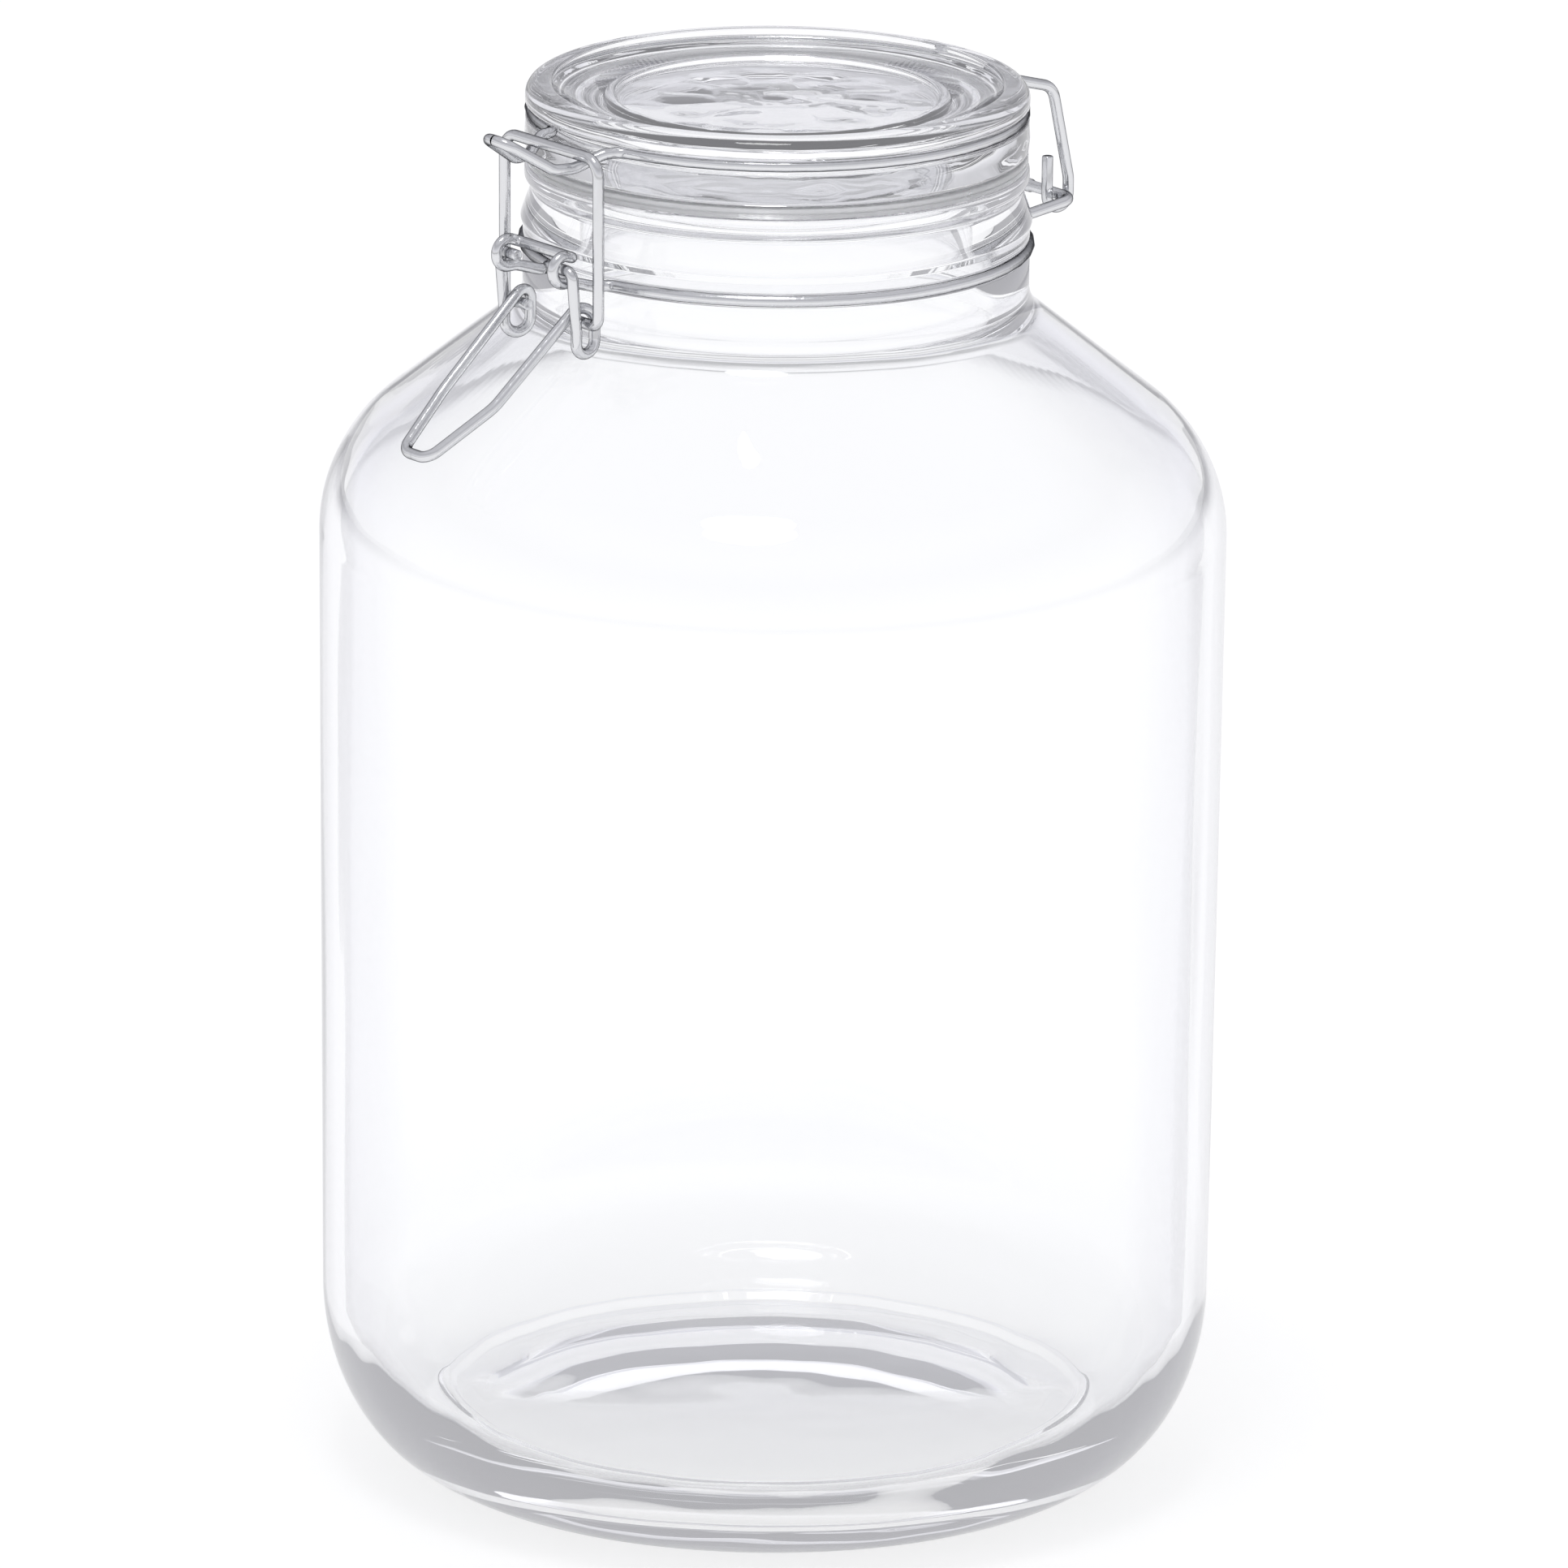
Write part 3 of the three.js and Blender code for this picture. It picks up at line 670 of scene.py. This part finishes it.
# %% [markdown]
# ## The finishes
# Clear soda glass bends light by 1.52 and has hardly any colour, but its colour is painted grey
# towards grazing angles, as painted shade that draws its edges. In the heel and the neck a ray can be
# turned back inside the glass many times. A renderer gives up on it, and leaves black where the real
# jar shows the white room, so the glass glows a pale grey for such a ray instead: painted light. The
# silicone is milky, so some of the light passes and some scatters. The wire is bright steel, drawn
# and then tumbled, so its gloss varies a little along its length, and a dark tint paints shade along
# its edges.

# %% Glass, silicone and steel
TURNED_BACK = 4
JAR_TRAPPED_GLOW = 0.22
LID_TRAPPED_GLOW = 0.1


def new_material(name, colour, roughness, metallic=0.0):
    material = bpy.data.materials.new(name)
    material.use_nodes = True
    shader = material.node_tree.nodes["Principled BSDF"]
    shader.inputs["Base Color"].default_value = (*colour, 1)
    shader.inputs["Roughness"].default_value = roughness
    shader.inputs["Metallic"].default_value = metallic
    return material, shader


def add_waver(material, shader, scale, stretch, detail, depth):
    node = material.node_tree.nodes.new("ShaderNodeGroup")
    node.node_tree = waver
    for name, value in (("Scale", scale), ("Stretch", stretch), ("Detail", detail), ("Depth", depth)):
        node.inputs[name].default_value = value
    material.node_tree.links.new(node.outputs["Normal"], shader.inputs["Normal"])
    return node


def gloss_from(material, shader, node, low, high):
    """Lets the waver's mask vary the roughness between two values."""
    spread = material.node_tree.nodes.new("ShaderNodeMapRange")
    spread.inputs["To Min"].default_value = low
    spread.inputs["To Max"].default_value = high
    material.node_tree.links.new(node.outputs["Mask"], spread.inputs["Value"])
    material.node_tree.links.new(spread.outputs["Result"], shader.inputs["Roughness"])


def glass_finish(name, scale, stretch, depth, trapped_glow):
    material, shader = new_material(name, (0.985, 0.99, 0.992), 0.0)
    shader.inputs["Transmission Weight"].default_value = 1
    shader.inputs["IOR"].default_value = 1.52
    add_waver(material, shader, scale, stretch, 1.5, depth)
    nodes, links = material.node_tree.nodes, material.node_tree.links
    # Painted shade: the glass's colour turns grey and then nearly black towards grazing angles, so its
    # edges show dark.
    slant = nodes.new("ShaderNodeLayerWeight")
    slant.inputs["Blend"].default_value = 0.5
    painted_edge_shade = nodes.new("ShaderNodeValToRGB")
    ramp = painted_edge_shade.color_ramp
    ramp.elements[0].position = 0.45
    ramp.elements[0].color = (0.985, 0.988, 0.992, 1)
    ramp.elements[1].position = 1.0
    ramp.elements[1].color = (0.14, 0.14, 0.17, 1)
    middle = ramp.elements.new(0.76)
    middle.color = (0.84, 0.84, 0.875, 1)
    links.new(slant.outputs["Facing"], painted_edge_shade.inputs["Fac"])
    links.new(painted_edge_shade.outputs["Color"], shader.inputs["Base Color"])
    # Painted light: once a ray has turned back many times inside the glass, the glass glows a pale
    # grey for it.
    path = nodes.new("ShaderNodeLightPath")
    trapped = nodes.new("ShaderNodeMapRange")
    trapped.inputs["From Min"].default_value = TURNED_BACK - 1
    trapped.inputs["From Max"].default_value = TURNED_BACK
    trapped.inputs["To Max"].default_value = trapped_glow
    links.new(path.outputs["Glossy Depth"], trapped.inputs["Value"])
    links.new(trapped.outputs["Result"], shader.inputs["Emission Strength"])
    shader.inputs["Emission Color"].default_value = (0.95, 0.95, 1, 1)
    return material


jar_finish = glass_finish("clear_jar_glass", 22, 0.22, 0.0012, JAR_TRAPPED_GLOW)
lid_finish = glass_finish("clear_lid_glass", 60, 1.0, 0.0004, LID_TRAPPED_GLOW)

silicone, silicone_shader = new_material("clear_silicone", (0.95, 0.955, 0.96), 0.3)
silicone_shader.inputs["Transmission Weight"].default_value = 0.65
silicone_shader.inputs["IOR"].default_value = 1.41
silicone_waver = add_waver(silicone, silicone_shader, 300, 1.0, 3, 0.0002)
gloss_from(silicone, silicone_shader, silicone_waver, 0.22, 0.42)

steel, steel_shader = new_material("bright_drawn_wire", (0.74, 0.745, 0.76), 0.16, 1.0)
# Painted shade: a near-black specular tint darkens the steel's reflection towards the wire's edges.
steel_shader.inputs["Specular Tint"].default_value = (0.03, 0.03, 0.035, 1)
steel_waver = add_waver(steel, steel_shader, 900, 0.25, 4, 0.00006)
gloss_from(steel, steel_shader, steel_waver, 0.08, 0.28)
print("finishes", [finish.name for finish in (jar_finish, lid_finish, silicone, steel)])

# %% Give each piece its finish, its body and its place in the frame
PIECES = (
    (jar, jar_finish, "jar", "jar_glass", "clear_glass"),
    (neck_wire, steel, "jar", "neck_wire", "steel_wire"),
    (lid, lid_finish, "lid", "lid_glass", "clear_glass"),
    (seal, silicone, "lid", "gasket", "clear_seal"),
    (lid_wire, steel, "lid", "lid_wire", "steel_wire"),
    (lever, steel, "lever", "lever_wire", "steel_wire"),
    (bail, steel, "bail", "bail_wire", "steel_wire"),
)
for piece, finish, body, node, slot in PIECES:
    piece.data.materials.append(finish)
    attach(piece, body)
    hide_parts(node)
    print(piece.name, "moves with", body)

# %% [markdown]
# ## The studio
# Clear glass shows only what it bends. Under an even white sky on an endless white table it would
# vanish. Here the table and the low sky are white. The table fades to a pale grey from 1.5 m out, and
# the sky is greyer half-way up. Only rays that the glass turns far aside meet the grey, so it draws
# the glass's edges. The table glows, so that no shadow dirties the glass.

# %% Floor, sky and lamps
TABLE_RADIUS = 8
TABLE_WHITE = 0.4
TABLE_GLOW = 0.73
FAR_GLOW = 0.2
FADE_START = 1.5
FADE_END = 3
SKY_STRENGTH = 0.95


def build_floor():
    bm = bmesh.new()
    bmesh.ops.create_circle(bm, cap_ends=True, radius=TABLE_RADIUS, segments=96)
    bmesh.ops.translate(bm, verts=bm.verts, vec=(0, 0, -0.2 * MM))
    floor = finished("floor", bm)
    material, shader = new_material("white_table", (TABLE_WHITE,) * 3, 0.9)
    nodes, links = material.node_tree.nodes, material.node_tree.links
    where = nodes.new("ShaderNodeTexCoord")
    distance = nodes.new("ShaderNodeVectorMath")
    distance.operation = "LENGTH"
    links.new(where.outputs["Object"], distance.inputs[0])
    fade = nodes.new("ShaderNodeMapRange")
    fade.inputs["From Min"].default_value = FADE_START
    fade.inputs["From Max"].default_value = FADE_END
    fade.inputs["To Min"].default_value = TABLE_GLOW
    fade.inputs["To Max"].default_value = FAR_GLOW
    links.new(distance.outputs["Value"], fade.inputs["Value"])
    links.new(fade.outputs["Result"], shader.inputs["Emission Strength"])
    shader.inputs["Emission Color"].default_value = (1, 1, 1, 1)
    floor.data.materials.append(material)


def build_sky():
    world = bpy.data.worlds.new("studio_sky")
    world.use_nodes = True
    nodes, links = world.node_tree.nodes, world.node_tree.links
    where = nodes.new("ShaderNodeTexCoord")
    split = nodes.new("ShaderNodeSeparateXYZ")
    links.new(where.outputs["Generated"], split.inputs["Vector"])
    heights = nodes.new("ShaderNodeValToRGB")
    ramp = heights.color_ramp
    ramp.elements[0].position = 0.0
    ramp.elements[0].color = (1, 1, 1, 1)
    ramp.elements[1].position = 1.0
    ramp.elements[1].color = (0.6, 0.6, 0.63, 1)
    for position, grey in ((0.12, 0.95), (0.3, 0.75), (0.5, 0.55), (0.75, 0.75)):
        element = ramp.elements.new(position)
        element.color = (grey, grey, grey * 1.05, 1)
    links.new(split.outputs["Z"], heights.inputs["Fac"])
    background = nodes["Background"]
    links.new(heights.outputs["Color"], background.inputs["Color"])
    background.inputs["Strength"].default_value = SKY_STRENGTH
    scene.world = world


def add_lamp(name, place, target, size, power):
    lamp = bpy.data.lights.new(name, "AREA")
    lamp.shape = "DISK"
    lamp.size = size
    lamp.energy = power
    holder = bpy.data.objects.new(name, lamp)
    holder.location = place
    holder.rotation_euler = (Vector(target) - Vector(place)).to_track_quat("-Z", "Y").to_euler()
    scene.collection.objects.link(holder)


build_floor()
build_sky()
add_lamp("top_softbox", (0.3, -0.4, 1.8), (0, 0, 0.15), 0.5, 5)

# %% [markdown]
# ## The camera
# A long lens from three metres keeps the jar's sides nearly parallel. The camera looks at the jar
# from above the rim's height, far enough round that the clasp and the hinge both show.

# %% The camera
CAMERA_AZIMUTH = 50.8
CAMERA_ELEVATION = 16.1
CAMERA_DISTANCE = 3
CAMERA_LENS = 351.5
CAMERA_ROLL = 0.64
AIM_HEIGHT = 137.1 * MM
AIM_ASIDE = 2.7 * MM


def build_camera():
    azimuth, elevation = radians(CAMERA_AZIMUTH), radians(CAMERA_ELEVATION)
    back = Vector((sin(azimuth) * cos(elevation), -cos(azimuth) * cos(elevation), sin(elevation)))
    right = Vector((cos(azimuth), sin(azimuth), 0))
    target = Vector((0, 0, AIM_HEIGHT)) + right * AIM_ASIDE
    data = bpy.data.cameras.new("camera")
    data.lens = CAMERA_LENS
    data.sensor_width = 36
    data.clip_end = 50
    holder = bpy.data.objects.new("camera", data)
    holder.location = target + back * CAMERA_DISTANCE
    aim = (-back).to_track_quat("-Z", "Y")
    holder.rotation_mode = "QUATERNION"
    holder.rotation_quaternion = aim @ Matrix.Rotation(radians(CAMERA_ROLL), 3, "Z").to_quaternion()
    scene.collection.objects.link(holder)
    scene.camera = holder


build_camera()
scene.view_settings.view_transform = "Standard"
print("camera at", scene.camera.location)

# %% Update the scene
bpy.context.view_layer.update()
